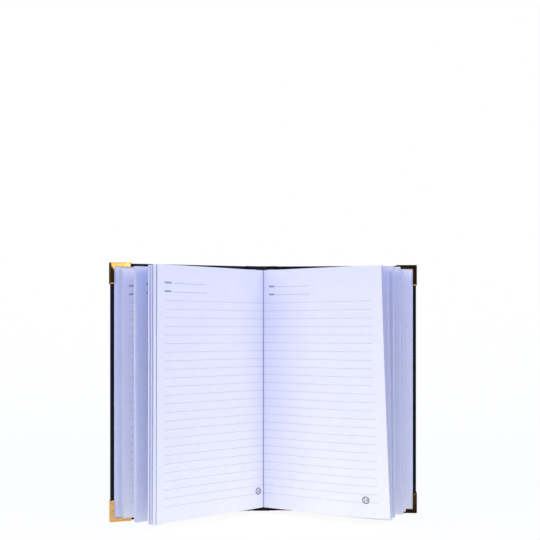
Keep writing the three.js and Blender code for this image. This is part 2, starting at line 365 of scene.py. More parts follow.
def cover_skin(side, angle):
    """The mitred tray: for each inset e the path runs along the tail, up the fore-edge and back
    along the head, so that (r, z) = (reach - e, e) and (reach - e, height - e) are its corners."""
    inset, level = skin_profile()
    along = np.linspace(0, 1, 25)
    e = inset[None, :]
    far = COVER_REACH - e
    tail_r = COVER_START + along[:, None] * (far - COVER_START)
    rise = e + along[1:-1, None] * (COVER_HEIGHT - 2 * e)
    r = np.concatenate([tail_r, np.broadcast_to(far, rise.shape), tail_r[::-1]])
    z = np.concatenate([
        np.broadcast_to(e, tail_r.shape), rise, np.broadcast_to(COVER_HEIGHT - e, tail_r.shape),
    ])
    y = np.broadcast_to(level[None, :], r.shape)
    return in_frame(side, angle, COVER_PIVOT, r, -y, z)


def close_doubles(obj, distance=1e-6):
    """Merges points that lie on one another, so that seams and poles are closed, and takes away
    what is left without length or area."""
    work = bmesh.new()
    work.from_mesh(obj.data)
    bmesh.ops.remove_doubles(work, verts=work.verts, dist=distance)
    bmesh.ops.dissolve_degenerate(work, edges=work.edges, dist=distance / 10)
    work.to_mesh(obj.data)
    work.free()
    obj.data.update()


def give_thickness(obj, millimetres, rim=0, crisp=False):
    """A wall of that thickness, half on each side of the surface, with the material of slot rim at
    its cut edges; crisp parts the shading there."""
    wall = obj.modifiers.new("wall", "SOLIDIFY")
    wall.thickness = millimetres / 1000
    wall.offset = 0.0
    wall.material_offset_rim = rim
    if crisp:
        cut = obj.modifiers.new("cut_edges", "EDGE_SPLIT")
        cut.split_angle = math.radians(50)


for side, word in ((-1, "front"), (1, "back")):
    skin_grid = cover_skin(side, joint_angle(word + "_cover_hinge"))
    skin = put_mesh(
        word + "_cover_skin", skin_grid, grid_faces(*skin_grid.shape[:2], flip=side < 0), [leathercloth]
    )
    close_doubles(skin)
    give_thickness(skin, SKIN_THICKNESS)
    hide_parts(word + "_leather")
    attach(skin, word + "_cover")

# Spine's skin and the two joints. The same leathercloth runs on over the spine board, dips into a
# soft groove on each side, where only the cloth and the endpaper are left and the covers turn,
# and is turned in over the head and the tail.
SPINE_SIDE = 6.72
SPINE_FOOT = 7.08
SPINE_OUT = 2.23
SPINE_ROUND = 0.9
SPINE_TURN_IN = 14.0
SPINE_IN = -0.12
SPINE_IN_HALF = 6.4
SPINE_LIP = 1.15
SPINE_TAIL_DROP = 0.5
SPINE_DROP_REACH = 40.0
JOINT_LIP = 0.27
JOINT_FLAT = 4.6
JOINT_CLIMB = 4.4
JOINT_END = 7.05
JOINT_BLEND = 5.2
JOINT_IN = 0.52


def turned_in(outer, inner, lip, depth):
    """A strip with both ends turned in. outer and inner are cross-sections (n, 2) of the outer
    sheet and of its turned-in end, lip the height of the rounded end at each point. Along z: the
    inner margin, a half circle cos/sin of the lip between the two, and the outer sheet."""
    turn = np.linspace(math.pi, 0, 9)[:, None]
    tail_xy = (outer + inner) / 2 + np.cos(turn)[..., None] * (outer - inner) / 2
    tail_z = lip * (1 - np.sin(turn))
    body = np.broadcast_to(outer, (9,) + outer.shape)
    body_z = lip + np.linspace(0, 1, 11)[1:-1, None] * (COVER_HEIGHT - 2 * lip)
    margin = np.full((1, len(outer)), depth)
    xy = np.concatenate([inner[None], tail_xy, body, tail_xy[::-1], inner[None]])
    z = np.concatenate([margin, tail_z, body_z, COVER_HEIGHT - tail_z[::-1], COVER_HEIGHT - margin])
    return np.concatenate([xy, z[..., None]], -1)


def spine_section():
    """The outer sheet across the spine: up the board's side, a quarter round, flat, and down again."""
    turn = np.linspace(0, math.pi / 2, 7)
    round_x = -SPINE_SIDE + SPINE_ROUND * (1 - np.cos(turn))
    round_y = SPINE_OUT - SPINE_ROUND * (1 - np.sin(turn))
    x = np.concatenate([[-7.1, -6.95, -SPINE_SIDE], round_x, [-3, 0]])
    y = np.concatenate([[0.0, 0.12, 0.5], round_y, [SPINE_OUT] * 2])
    outer = np.stack([np.concatenate([x, -x[-2::-1]]), np.concatenate([y, y[-2::-1]])], -1)
    inner_x = np.clip(outer[:, 0] * 0.95, -SPINE_IN_HALF, SPINE_IN_HALF)
    return outer, np.stack([inner_x, np.full(len(outer), SPINE_IN)], -1)


spine_outer, spine_inner = spine_section()
spine_lip = 0.25 + (SPINE_LIP - 0.25) * np.clip((spine_outer[:, 1] - 0.1) / (SPINE_OUT - 0.1), 0, 1)
spine_grid = turned_in(spine_outer, spine_inner, spine_lip, SPINE_TURN_IN)
spine_grid[..., 2] -= SPINE_TAIL_DROP * np.clip(1 - spine_grid[..., 2] / SPINE_DROP_REACH, 0, 1)
spine_skin = put_mesh("spine_skin", spine_grid, grid_faces(*spine_grid.shape[:2], flip=True), [leathercloth])
give_thickness(spine_skin, SKIN_THICKNESS)
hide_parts("spine_leather")
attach(spine_skin, "spine")


def joint_section(side, angle):
    """Across the groove: level 0 from the spine's foot to JOINT_FLAT, then a smooth climb
    t*t*(3 - 2t) to the cover's face."""
    out = np.concatenate([np.linspace(0.0, JOINT_FLAT, 8), np.linspace(4.9, JOINT_END, 9)])
    climb = np.clip((out - JOINT_CLIMB) / (JOINT_END - JOINT_CLIMB), 0, 1)
    level = SKIN_OUT * climb * climb * (3 - 2 * climb)
    outer = in_frame(side, angle, COVER_PIVOT, out, -level, 0.0)[:, :2]
    inner = in_frame(side, angle, COVER_PIVOT, out, JOINT_IN - level, 0.0)[:, :2]
    foot = np.array([[side * SPINE_FOOT, 0.0]])
    return np.concatenate([foot, outer]), np.concatenate([foot - [[0, SKIN_THICKNESS]], inner])


for side, word in ((-1, "front"), (1, "back")):
    angle = joint_angle(word + "_cover_hinge")
    joint_outer, joint_inner = joint_section(side, angle)
    joint_grid = turned_in(joint_outer, joint_inner, np.full(len(joint_outer), JOINT_LIP), SPINE_TURN_IN)
    joint_skin = put_mesh(
        word + "_joint_skin", joint_grid, grid_faces(*joint_grid.shape[:2], flip=side > 0), [leathercloth]
    )
    give_thickness(joint_skin, SKIN_THICKNESS)
    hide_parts(word + "_joint_leather")
    joint_far = in_frame(side, angle, COVER_PIVOT, JOINT_BLEND, 0.0, COVER_MIDDLE) / 1000
    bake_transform(joint_skin)

# Corners. Each is a triangle of thin brass-plated steel, folded over the cover's corner: a flat
# plate outside, a mitred fold over both edges, and a narrow flange that clinches the inside.
CORNER_LEG = 18.0
CORNER_SHEET = 0.5
CORNER_OUTLINE = 130.22
CORNER_PROUD = 0.43
CORNER_OUT = 1.98
CORNER_IN = -2.38
CORNER_ROUND = 0.45
CORNER_FLANGE = 3.42
CORNER_FLANGE_TIP = 3.22
CORNER_ROLL = 0.42
TARNISH = 4.0
DRAW_LINES = 0.5


def make_brass():
    """Polished brass plating on pressed steel: mirror-like, faint draw lines and a touch of tarnish."""
    material, tree, shader, place = new_material("polished_brass_plate")
    tarnish = add_node(tree, "TexNoise", {"Scale": 1000 / TARNISH, "Detail": 5.0}, {"Vector": place}, "Fac")
    shade = add_node(tree, "ValToRGB", {"stops": ((0.35, "#c8975a"), (0.7, "#e2b877"))}, {"Fac": tarnish}, 0)
    gloss = add_node(
        tree, "MapRange", {"From Min": 0.3, "From Max": 0.75, "To Min": 0.18, "To Max": 0.1},
        {"Value": tarnish}, 0,
    )
    lines = add_node(tree, "TexNoise", {"Scale": 1000 / DRAW_LINES, "Detail": 2.0}, {"Vector": place}, "Fac")
    bump = add_node(tree, "Bump", {"Strength": 0.06, "Distance": 0.00003}, {"Height": lines}, "Normal")
    wire(tree, shader, {"Metallic": 1.0}, {"Base Color": shade, "Roughness": gloss, "Normal": bump})
    return material


brass = make_brass()


def corner_shell(side, angle, head):
    """The folded triangle, a grid of walk by inset: four insets of the plate, six of the outer
    round, six of the inner round and six of the flange. For inset e the path runs along the short
    edge from the slanting side (leg - e from the tip) to the mitre (e from the tip) and back along
    the fore-edge; the flange is narrower at the tips than at the mitre. On the front cover the
    head's fore-edge leg is pressed less flat: its rim stands CORNER_ROLL higher than the mitre."""
    leg = CORNER_LEG + CORNER_PROUD
    rho = CORNER_ROUND
    over = np.linspace(0, math.pi / 2, 6)
    plate = [leg / 2, 6.5, 4, 2.2]
    inset = np.concatenate([plate, rho * (1 - np.sin(over)), rho * (1 - np.cos(over)), np.ones(6)])
    level = np.concatenate([
        [CORNER_OUT] * 4,
        CORNER_OUT - rho * (1 - np.cos(over)),
        CORNER_IN + rho * (1 - np.sin(over)),
        [CORNER_IN] * 6,
    ])
    outside = np.arange(22) < 10
    flange = np.arange(22) >= 16
    across = np.concatenate([np.zeros(16), [0.05, 0.15, 0.5, 0.85, 0.95, 1.0]])[None, :]
    walk = np.linspace(0, 1, 11)[:, None]
    e = inset[None, :]
    start = leg - np.minimum(np.where(outside, e, rho), leg / 2)
    rim = CORNER_FLANGE_TIP + (CORNER_FLANGE - CORNER_FLANGE_TIP) * walk
    depth = np.where(flange, rho + across * (rim - rho), e)
    end = np.where(flange, rho + across * (CORNER_FLANGE - rho), e)
    from_tip = start + walk * (end - start)
    short = np.stack([from_tip, depth], -1)
    both = np.concatenate([short, short[::-1, :, ::-1][1:]])
    r = CORNER_OUTLINE - both[..., 0]
    z = both[..., 1] - CORNER_PROUD
    if head:
        z = COVER_HEIGHT - z
    y = np.broadcast_to(level, r.shape).copy()
    if head and side < 0:
        y[11:] -= CORNER_ROLL * across * np.clip(np.arange(1, 11) / 3, 0, 1)[:, None]
    return in_frame(side, angle, COVER_PIVOT, r, -y, z)


for side, word in ((-1, "front"), (1, "back")):
    for end in ("tail", "head"):
        corner_grid = corner_shell(side, joint_angle(word + "_cover_hinge"), end == "head")
        corner = put_mesh(
            f"{word}_{end}_brass_corner", corner_grid,
            grid_faces(*corner_grid.shape[:2], flip=(side < 0) != (end == "head")), [brass],
        )
        close_doubles(corner)
        give_thickness(corner, CORNER_SHEET)
        soften = corner.modifiers.new("soft_edges", "BEVEL")
        soften.width = 0.00012
        soften.segments = 2
        soften.limit_method = "ANGLE"
        soften.angle_limit = math.radians(50)
        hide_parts(f"{word}_{end}_corner")
        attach(corner, word + "_cover")

# Boards, infill cards, spine's inner layers. Greyboard stiffens the covers and the spine, a sheet
# of card levels each cover's inside between the turned-in margins, and gauze and paper line the
# spine. They stay as the frame has them and show only at the covers' open edges.
FIBRE = 1.2
GAUZE_PITCH = 1.1


def make_board(name, dark, light):
    """Pulp board: mottled recycled fibres with darker specks, dead matte."""
    material, tree, shader, place = new_material(name)
    fibres = add_node(tree, "TexNoise", {"Scale": 1000 / FIBRE, "Detail": 8.0}, {"Vector": place}, "Fac")
    shade = add_node(tree, "ValToRGB", {"stops": ((0.3, dark), (0.7, light))}, {"Fac": fibres}, 0)
    bump = add_node(tree, "Bump", {"Strength": 0.3, "Distance": 0.00008}, {"Height": fibres}, "Normal")
    wire(tree, shader, {"Roughness": 0.93}, {"Base Color": shade, "Normal": bump})
    return material


def band_scale(pitch):
    """The scale at which a wave texture repeats every pitch mm: its bands are pi/10 of a unit apart."""
    return 1000 * math.pi / 10 / pitch


def make_gauze():
    """Starched cotton net: open square weave, drawn 1.1 mm apart so that it shows."""
    material, tree, shader, place = new_material("cotton_gauze")
    wave = {"Scale": band_scale(GAUZE_PITCH), "Distortion": 0.3, "Detail": 1.0}
    weft = add_node(tree, "TexWave", {**wave, "bands_direction": "Z"}, {"Vector": place}, "Fac")
    warp = add_node(tree, "TexWave", {**wave, "bands_direction": "X"}, {"Vector": place}, "Fac")
    thread = add_node(tree, "Math", {"operation": "MAXIMUM"}, {0: weft, 1: warp}, 0)
    shade = add_node(tree, "ValToRGB", {"stops": ((0, "#a39a86"), (1, "#e2dccb"))}, {"Fac": thread}, 0)
    bump = add_node(tree, "Bump", {"Strength": 0.6, "Distance": 0.0002}, {"Height": thread}, "Normal")
    wire(tree, shader, {"Roughness": 0.95}, {"Base Color": shade, "Normal": bump})
    return material


def finish_node(node, material):
    """Gives a carried-over piece its material."""
    mesh = frame["nodes"][node].data
    mesh.materials.clear()
    mesh.materials.append(material)


greyboard = make_board("recycled_greyboard", "#7f7a71", "#a9a397")
infill_card = make_board("manila_card", "#b9b2a1", "#d8d2c3")
for node in ("spine_board", "front_board", "back_board"):
    finish_node(node, greyboard)
for node in ("front_infill", "back_infill"):
    finish_node(node, infill_card)
finish_node("spine_liner", make_board("kraft_liner_paper", "#9c8b70", "#b6a68a"))
finish_node("spine_mull", make_gauze())

# Sewn folds. The sections' folded backs, glued together into the block's spine, with a rolled
# band of black cloth glued on at the head and at the tail.
SECTION_PITCH = 10.6 / 9
FOLD_LINES = 0.35
BAND_RIB = 0.6


def make_folds():
    """Folded sheets seen on their backs and ends: pale paper ridges, one to a section, with thin
    glue. The 0.1 mm sheets are drawn 0.35 mm apart so that they show."""
    material, tree, shader, place = new_material("glued_paper_folds")
    across = {"bands_direction": "X"}
    wave = {"Scale": band_scale(SECTION_PITCH), "Distortion": 0.4, **across}
    ridge = add_node(tree, "TexWave", wave, {"Vector": place}, "Fac")
    wave = {"Scale": band_scale(FOLD_LINES), "Distortion": 0.6, **across}
    leaf = add_node(tree, "TexWave", wave, {"Vector": place}, "Fac")
    height = add_node(tree, "Math", {"operation": "MULTIPLY_ADD", 1: 0.35}, {0: leaf, 2: ridge}, 0)
    shade = add_node(tree, "ValToRGB", {"stops": ((0, "#a9aac0"), (1, "#e3e5f4"))}, {"Fac": height}, 0)
    bump = add_node(tree, "Bump", {"Strength": 0.5, "Distance": 0.0002}, {"Height": height}, "Normal")
    wire(tree, shader, {"Roughness": 0.8}, {"Base Color": shade, "Normal": bump})
    return material


def make_band_cloth():
    """Cotton band woven in a fine diagonal rib, dyed black, rolled over a cord."""
    material, tree, shader, place = new_material("black_cotton_band")
    wave = {"Scale": band_scale(BAND_RIB), "bands_direction": "DIAGONAL"}
    rib = add_node(tree, "TexWave", wave, {"Vector": place}, "Fac")
    shade = add_node(tree, "ValToRGB", {"stops": ((0, "#0d0e14"), (1, "#2c2e3a"))}, {"Fac": rib}, 0)
    bump = add_node(tree, "Bump", {"Strength": 0.6, "Distance": 0.00015}, {"Height": rib}, "Normal")
    wire(tree, shader, {"Roughness": 0.85, "Sheen Weight": 0.2}, {"Base Color": shade, "Normal": bump})
    return material


finish_node("sewn_folds", make_folds())
band_cloth = make_band_cloth()
for node in ("head_band", "tail_band"):
    finish_node(node, band_cloth)

# Endpapers. One folded sheet on each side: half is pasted to the cover's inside and leaves a
# 3 mm frame of the skin, half is the free flyleaf, and the fold crosses the joint.
PASTEDOWN_LEVEL = 1.9
PASTEDOWN_END = 126.79
PASTEDOWN_EDGE = 3.0
PASTEDOWN_SHEET = 0.2
PASTEDOWN_RIPPLE = 0.03
ENDPAPER_SHOULDER = (5.25, -3.7)
ENDPAPER_LEAVE = (2.2, 0.5)
ENDPAPER_ARRIVE = 2.6
PAPER_CLOUD = 9.0
PAPER_FIBRE = 0.5


def make_paper(name, deep, light, print_mask=None):
    """Uncoated wood-free paper with a cool optical white: dead smooth at arm's length, faint
    cloudy fibres close by. print_mask gives from the tree where how much grey ink lies."""
    material, tree, shader, place = new_material(name)
    cloud = add_node(
        tree, "TexNoise", {"Scale": 1000 / PAPER_CLOUD, "Detail": 6.0}, {"Vector": place}, "Fac"
    )
    fibre = add_node(
        tree, "TexNoise", {"Scale": 1000 / PAPER_FIBRE, "Detail": 3.0}, {"Vector": place}, "Fac"
    )
    shade = add_node(tree, "ValToRGB", {"stops": ((0.25, deep), (0.75, light))}, {"Fac": cloud}, 0)
    if print_mask is not None:
        ink = {"data_type": "RGBA", 7: linear("#6f7593")}
        shade = add_node(tree, "Mix", ink, {0: print_mask(tree), 6: shade}, 2)
    bump = add_node(tree, "Bump", {"Strength": 0.1, "Distance": 0.00003}, {"Height": fibre}, "Normal")
    wire(
        tree, shader, {"Roughness": 0.85, "Specular IOR Level": 0.25}, {"Base Color": shade, "Normal": bump}
    )
    return material


endpaper = make_paper("offset_endpaper", "#d5daf9", "#d9defb")
endpaper_tail, endpaper_head = PASTEDOWN_EDGE, COVER_HEIGHT - PASTEDOWN_EDGE


def pastedown_sheet(side, angle):
    """A flat sheet, level with the turned-in skin's face, with a ripple of a few hundredths that
    is the product of two sines, as paste leaves it."""
    r = np.linspace(COVER_START, PASTEDOWN_END, 21)[:, None]
    z = np.linspace(endpaper_tail, endpaper_head, 31)[None, :]
    ripple = PASTEDOWN_RIPPLE * np.sin(z / 17.0) * np.sin(r / 23.0)
    return in_frame(side, angle, COVER_PIVOT, r, PASTEDOWN_LEVEL + ripple, z)


def cubic_plan(first, leave, away, last, steps):
    """A curve in plan from first towards leave, and out of away into last: at t the four weigh
    (1-t)^3, 3t(1-t)^2, 3t^2(1-t) and t^3."""
    t = np.linspace(0, 1, steps)[:, None]
    return (1 - t) ** 3 * first + 3 * t * (1 - t) ** 2 * leave + 3 * t * t * (1 - t) * away + t**3 * last


def carried_up(plan, heights):
    """A curve in plan carried straight up: a grid with one point over each of its own a height."""
    shape = (len(plan), len(heights))
    xy = np.broadcast_to(plan[:, None, :], shape + (2,))
    return np.concatenate([xy, np.broadcast_to(heights, shape)[..., None]], -1)


def endpaper_fold(side, angle):
    """From the block's shoulder across the joint to the pastedown: a cubic curve that leaves the
    shoulder outwards and arrives along the cover, with its two ends in plan."""
    first = np.array(ENDPAPER_SHOULDER) * [side, 1]
    leave = first + np.array(ENDPAPER_LEAVE) * [side, 1]
    last = in_frame(side, angle, COVER_PIVOT, COVER_START + 0.1, PASTEDOWN_LEVEL, 0.0)[:2]
    away = in_frame(side, angle, COVER_PIVOT, COVER_START - ENDPAPER_ARRIVE, PASTEDOWN_LEVEL, 0.0)[:2]
    plan = cubic_plan(first, leave, away, last, 15)
    return carried_up(plan, np.linspace(endpaper_tail, endpaper_head, 15)), first, last


for side, word in ((-1, "front"), (1, "back")):
    angle = joint_angle(word + "_cover_hinge")
    paste_grid = pastedown_sheet(side, angle)
    pastedown = put_mesh(
        word + "_pasted_endpaper", paste_grid, grid_faces(*paste_grid.shape[:2], flip=side > 0), [endpaper]
    )
    give_thickness(pastedown, PASTEDOWN_SHEET, crisp=True)
    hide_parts(word + "_pastedown")
    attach(pastedown, word + "_cover")
    fold_grid, fold_first, fold_last = endpaper_fold(side, angle)
    fold = put_mesh(
        word + "_endpaper_fold", fold_grid, grid_faces(*fold_grid.shape[:2], flip=side > 0), [endpaper]
    )
    give_thickness(fold, PASTEDOWN_SHEET, crisp=True)
    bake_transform(fold)

# Leaves. Ruled sheets 0.1 mm thick, folded into sections and sewn; they stand in packets that
# fan out from the fold. Each packet is a core of leaves that cling together and a few loose ones
# before and behind it, bent lengthwise by their own spring and a little twisted by their weight.
LEAF_PIVOT = (5.3, -4.59)
LEAF_SHEET = 0.14
PAGE_WIDTH = 124.0
PAGE_TAIL = 4.0
PAGE_HEAD = 214.0
PAGE_HEIGHT = PAGE_HEAD - PAGE_TAIL
PAGE_MIDDLE = (PAGE_HEAD + PAGE_TAIL) / 2
RULE_PITCH = 7.0
RULE_FIRST = 29.0
RULE_LAST = 197.0
RULE_WIDTH = 0.32
RULE_END = 111.6
RULE_INK = 0.5
HEADER_LINES = (15.0, 22.0)
HEADER_RULE = {"left": (85.7, 17.8), "right": (33.0, 18.8)}
HEADER_BAR = {"left": (109.0, 3.5), "right": (9.6, 3.2)}
HEADER_INK = 0.75
CUT_LINES = 0.45
GAUSS_X, GAUSS_W = np.polynomial.legendre.leggauss(10)


def ruled_mask(tree, word):
    """The printed mask from the page's own map, in mm from the gutter and from the head: rules
    every 7 mm up to the fore margin, two short header lines and a small bar before each."""
    page = add_node(tree, "SeparateXYZ", links={0: add_node(tree, "UVMap", {"uv_map": "page"}, out=0)})
    across = add_node(tree, "Math", {"operation": "MULTIPLY", 1: PAGE_WIDTH}, {0: page.outputs[0]}, 0)
    down = add_node(tree, "Math", {"operation": "MULTIPLY", 1: PAGE_HEIGHT}, {0: page.outputs[1]}, 0)
    half_pitch = RULE_PITCH / 2
    step = add_node(tree, "Math", {"operation": "SUBTRACT", 1: RULE_FIRST - half_pitch}, {0: down}, 0)
    wrap = add_node(tree, "Math", {"operation": "MODULO", 1: RULE_PITCH}, {0: step}, 0)
    ink = add_node(tree, "Math", {"operation": "MULTIPLY", 0: RULE_INK, 1: 1.0}, out=0)
    first_to_last = (down, (RULE_FIRST + RULE_LAST) / 2, (RULE_LAST - RULE_FIRST) / 2 + 1)
    for value, middle, half in ((wrap, half_pitch, RULE_WIDTH / 2), first_to_last, (across, 0, RULE_END)):
        within = add_node(tree, "Math", {"operation": "COMPARE", 1: middle, 2: half}, {0: value}, 0)
        ink = add_node(tree, "Math", {"operation": "MULTIPLY"}, {0: ink, 1: within}, 0)
    for level in HEADER_LINES:
        for span, height, half in ((HEADER_RULE[word], level, 0.16), (HEADER_BAR[word], level - 0.5, 0.75)):
            mark = add_node(tree, "Math", {"operation": "COMPARE", 1: span[0], 2: span[1]}, {0: across}, 0)
            within = add_node(tree, "Math", {"operation": "COMPARE", 1: height, 2: half}, {0: down}, 0)
            mark = add_node(tree, "Math", {"operation": "MULTIPLY"}, {0: mark, 1: within}, 0)
            mark = add_node(tree, "Math", {"operation": "MULTIPLY", 1: HEADER_INK}, {0: mark}, 0)
            ink = add_node(tree, "Math", {"operation": "MAXIMUM"}, {0: ink, 1: mark}, 0)
    return ink


def make_cut_edges():
    """The cut edges of a stack of leaves: fine lines along the sheets, paler and darker by turns,
    drawn 0.45 mm apart, which is coarser than the 0.1 mm sheets, so that they show."""
    material, tree, shader, place = new_material("cut_paper_edges")
    fine = add_node(tree, "TexNoise", {"Scale": 1000 / CUT_LINES, "Detail": 2.0}, {"Vector": place}, "Fac")
    shade = add_node(tree, "ValToRGB", {"stops": ((0.3, "#c4caf2"), (0.7, "#e4e8fd"))}, {"Fac": fine}, 0)
    bump = add_node(tree, "Bump", {"Strength": 0.4, "Distance": 0.0001}, {"Height": fine}, "Normal")
    wire(tree, shader, {"Roughness": 0.9}, {"Base Color": shade, "Normal": bump})
    return material


ruled = {
    -1: make_paper("ruled_paper_left", "#dcdff9", "#e0e3fb", lambda tree: ruled_mask(tree, "left")),
    1: make_paper("ruled_paper_right", "#dcdff9", "#e0e3fb", lambda tree: ruled_mask(tree, "right")),
}
cut_edges = make_cut_edges()


def bend_at(table, tau, zeta):
    """The leaf's turn in degrees at tau along it (0 root, 1 fore-edge) and zeta up it (-1 tail,
    1 head): the table's three rows (tail, middle, head) by four columns, joined by the curve of
    second order in zeta and third order in tau that meets them all."""
    up = np.stack([zeta * (zeta - 1) / 2, 1 - zeta**2, zeta * (zeta + 1) / 2])
    knots = np.array([0, 1 / 3, 2 / 3, 1])
    along = np.stack([
        np.prod([(tau - knots[j]) / (knots[i] - knots[j]) for j in range(4) if j != i], axis=0)
        for i in range(4)
    ])
    return np.einsum("u...,ut,t...->...", up, np.asarray(table, float), along)


def leaf_points(leaf, distance, z, lift=0.0):
    """Points of a leaf: its direction turns by bend_at, and the place is the root plus the
    integral of (cos, sin) of that turn over the distance, by ten-point Gauss sums, so that the
    sheet keeps its length. A leaf's rise lifts its fore-edge in its own plane, in proportion to
    the distance; lift moves the points off the sheet towards the reader."""
    distance, z = np.broadcast_arrays(np.asarray(distance, float), np.asarray(z, float))
    zeta = (z - PAGE_MIDDLE) / (PAGE_HEIGHT / 2)
    z = z + leaf["rise"] * distance / leaf["length"]
    share = distance[..., None] * (GAUSS_X + 1) / 2 / leaf["length"]
    turn = np.radians(bend_at(leaf["bend"], share, np.broadcast_to(zeta[..., None], share.shape)))
    along = leaf["start"] + distance * (np.cos(turn) @ GAUSS_W) / 2
    towards = leaf["offset"] + distance * (np.sin(turn) @ GAUSS_W) / 2
    here = np.radians(bend_at(leaf["bend"], distance / leaf["length"], zeta))
    along = along - lift * np.sin(here)
    towards = towards + lift * np.cos(here)
    return in_frame(leaf["side"], leaf["angle"], LEAF_PIVOT, along, towards, z)


def leaf_grid(leaf, first, columns=34, rows=25):
    """A leaf as a grid of points with its page map: across in page widths, where the print may
    be set off by shift, and down in page heights."""
    distance = np.linspace(first, leaf["length"], columns)[:, None]
    z = np.linspace(PAGE_TAIL, PAGE_HEAD, rows)[None, :]
    across = (distance + leaf["start"] + leaf["shift"]) / PAGE_WIDTH
    page = np.stack(np.broadcast_arrays(across, (PAGE_HEAD - z) / PAGE_HEIGHT), -1)
    return leaf_points(leaf, distance, z), page


def put_leaves(name, leaves, thickness, material, body, first=0.0, face=math.inf):
    """Several leaves as one piece that rides with the packet. The level at which they start, or
    the packet's face where that lies deeper, is worked out but not used."""
    points, maps, faces = [], [], []
    for number, leaf in enumerate(leaves):
        grid, page = leaf_grid(leaf, first)
        points.append(grid)
        maps.append(page)
        faces.append(grid_faces(*grid.shape[:2], flip=leaf["side"] > 0) + number * grid[..., 0].size)
    piece = put_mesh(
        name, np.concatenate(points), np.concatenate(faces), [material, cut_edges], np.concatenate(maps)
    )
    give_thickness(piece, thickness, rim=1, crisp=True)
    leaf = leaves[0]
    level = min(float(np.mean([each["offset"] for each in leaves])), face)
    anchor = in_frame(leaf["side"], leaf["angle"], LEAF_PIVOT, 0.0, level, COVER_MIDDLE) / 1000
    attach(piece, body)
    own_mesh(piece)
    return piece


# Roots. Between the sewn folds and each packet its leaves run close together as one soft strip.
ROOT_END = 0.7
ROOT_FOLD = -4.2
ROOT_SPREAD = 4.9
ROOT_SPARE = 0.1


def put_root(name, leaf, thickness, material):
    """A cubic curve that leaves the folds forwards and arrives along the packet; the nearer to the
    reader the packet lies, the nearer to the spine's middle its root is sewn."""
    side, angle = leaf["side"], leaf["angle"]
    sewn = min(max(LEAF_PIVOT[0] - leaf["offset"], -ROOT_SPREAD), ROOT_SPREAD)
    first = np.array([side * sewn, ROOT_FOLD])
    last = in_frame(side, angle, LEAF_PIVOT, ROOT_END, leaf["offset"], 0.0)[:2]
    reach = max(np.linalg.norm(last - first) * 0.45, 0.3)
    away = in_frame(side, angle, LEAF_PIVOT, ROOT_END - reach, leaf["offset"], 0.0)[:2]
    plan = cubic_plan(first, first + [0, -reach], away, last, 11)
    grid = carried_up(plan, np.linspace(PAGE_TAIL, PAGE_HEAD, 9))
    strip = put_mesh(
        name, grid, grid_faces(11, 9, flip=side > 0), [material, cut_edges], np.zeros((11, 9, 2))
    )
    give_thickness(strip, thickness, rim=1, crisp=True)
    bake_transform(strip)


